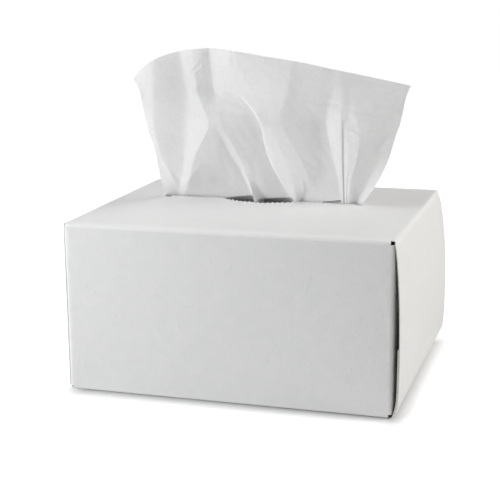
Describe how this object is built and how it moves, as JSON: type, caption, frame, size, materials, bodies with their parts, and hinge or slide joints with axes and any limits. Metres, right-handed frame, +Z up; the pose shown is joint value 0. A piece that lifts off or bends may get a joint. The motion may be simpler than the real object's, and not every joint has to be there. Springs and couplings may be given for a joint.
{
  "type": "box of lens cleaning tissues",
  "caption": "Glued white folding carton of interfolded lens cleaning tissues, with a torn-open toothed slot in its top and the first tissue drawn up through it.",
  "frame": {"origin": "centre of the base, on the surface the carton stands on", "axes": "+Z up, +X along the carton and its slot, -Y towards the side the picture shows as the front"},
  "size_m": [0.2302, 0.178, 0.218],
  "materials": {
    "carton_board": "clay-coated solid white board, matt",
    "tissue": "soft uncoated tissue",
    "glue": "set hot-melt glue"
  },
  "bodies": {
    "root": {"carton": "carton_board", "seam_glue": "glue", "end_glue_left": "glue", "end_glue_right": "glue", "tissue_pack": "tissue", "drawn_tissue": "tissue"}
  },
  "joints": []
}
